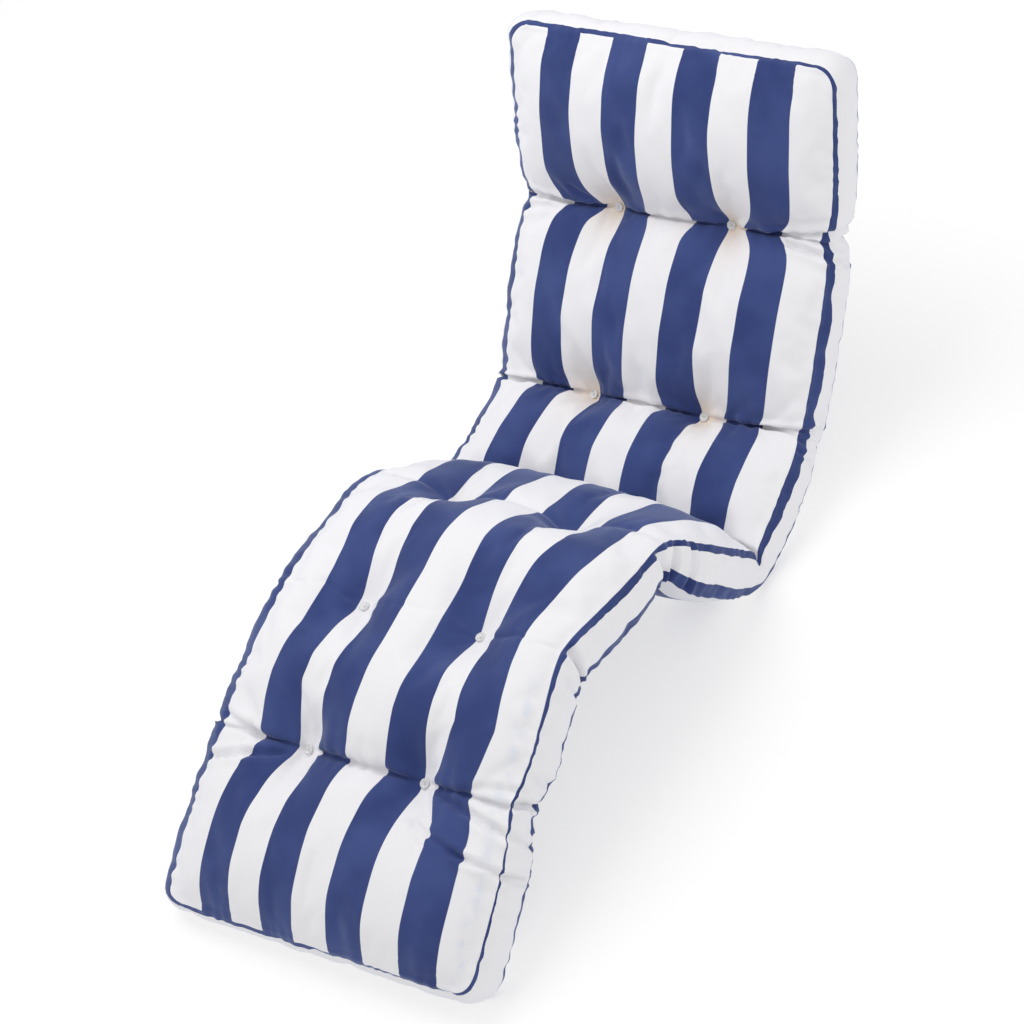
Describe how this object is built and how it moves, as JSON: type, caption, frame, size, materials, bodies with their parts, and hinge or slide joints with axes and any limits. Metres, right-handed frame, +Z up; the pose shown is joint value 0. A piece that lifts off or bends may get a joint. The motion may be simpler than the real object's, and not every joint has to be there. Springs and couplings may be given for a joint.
{
  "type": "full-length chair cushion",
  "caption": "Full-length chair cushion: a padded, boxed and tufted striped case, bent as on a reclined chair with a raised knee, to lie on and lean back on.",
  "frame": {"origin": "on the floor that the cushion rests on, under the middle of its bounding box", "axes": "+Z up, +Y from the foot end to the head end, +X to the right of someone who stands at the foot end and looks at the striped face"},
  "size_m": [0.634, 1.4948, 0.6414],
  "materials": {
    "cloth": "plain woven cotton and polyester cloth, off-white with navy blue stripes along the face, slightly sheened",
    "tuft_disc": "milky clear moulded plastic"
  },
  "bodies": {
    "root": {"cushion": "cloth", "tuft_disc_R1_left": "tuft_disc", "tuft_disc_R1_right": "tuft_disc", "tuft_disc_R2_left": "tuft_disc", "tuft_disc_R2_right": "tuft_disc", "tuft_disc_R3_left": "tuft_disc", "tuft_disc_R3_right": "tuft_disc", "tuft_disc_R4_left": "tuft_disc", "tuft_disc_R4_right": "tuft_disc", "tuft_disc_R5_left": "tuft_disc", "tuft_disc_R5_right": "tuft_disc", "tuft_disc_R6_left": "tuft_disc", "tuft_disc_R6_right": "tuft_disc"}
  },
  "joints": []
}
